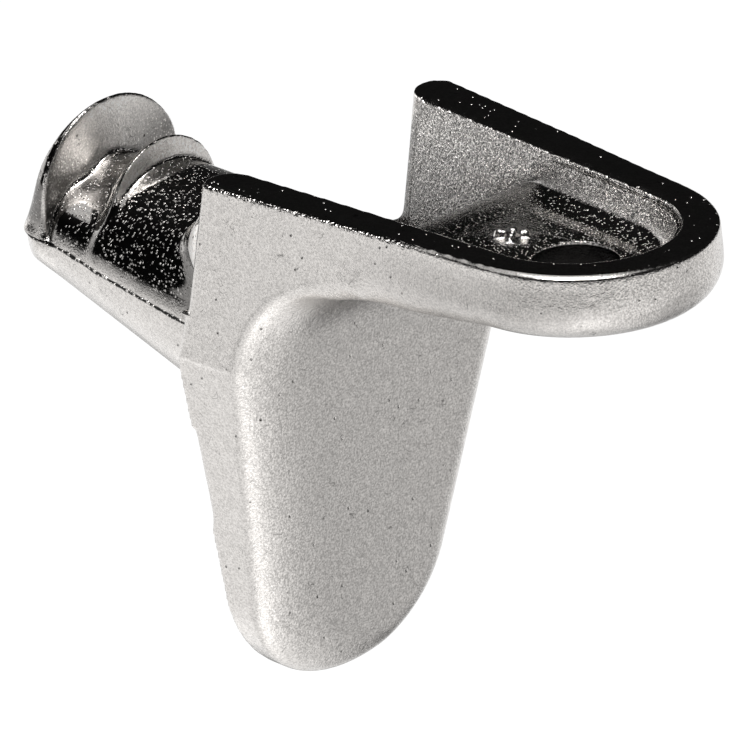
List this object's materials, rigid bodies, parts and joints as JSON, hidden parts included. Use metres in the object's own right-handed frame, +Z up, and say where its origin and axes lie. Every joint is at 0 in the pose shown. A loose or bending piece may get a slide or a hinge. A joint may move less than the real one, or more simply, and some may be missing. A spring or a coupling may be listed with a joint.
{
  "type": "shelf support",
  "caption": "Cast metal shelf support with a barbed peg for a drilled cabinet hole, a tongue that bears on the cabinet side and a horseshoe tray that carries the shelf.",
  "frame": {"origin": "on the cabinet side face at the middle of the peg's root, level with the casting's parting line", "axes": "+X out of the cabinet side towards the tray's nose, +Z up, Y across the width"},
  "size_m": [0.0214, 0.0098, 0.0145],
  "materials": {
    "plated_zinc": "satin bright nickel plate over a slightly grainy die-cast surface"
  },
  "bodies": {
    "root": {"shelf_support": "plated_zinc"}
  },
  "joints": []
}
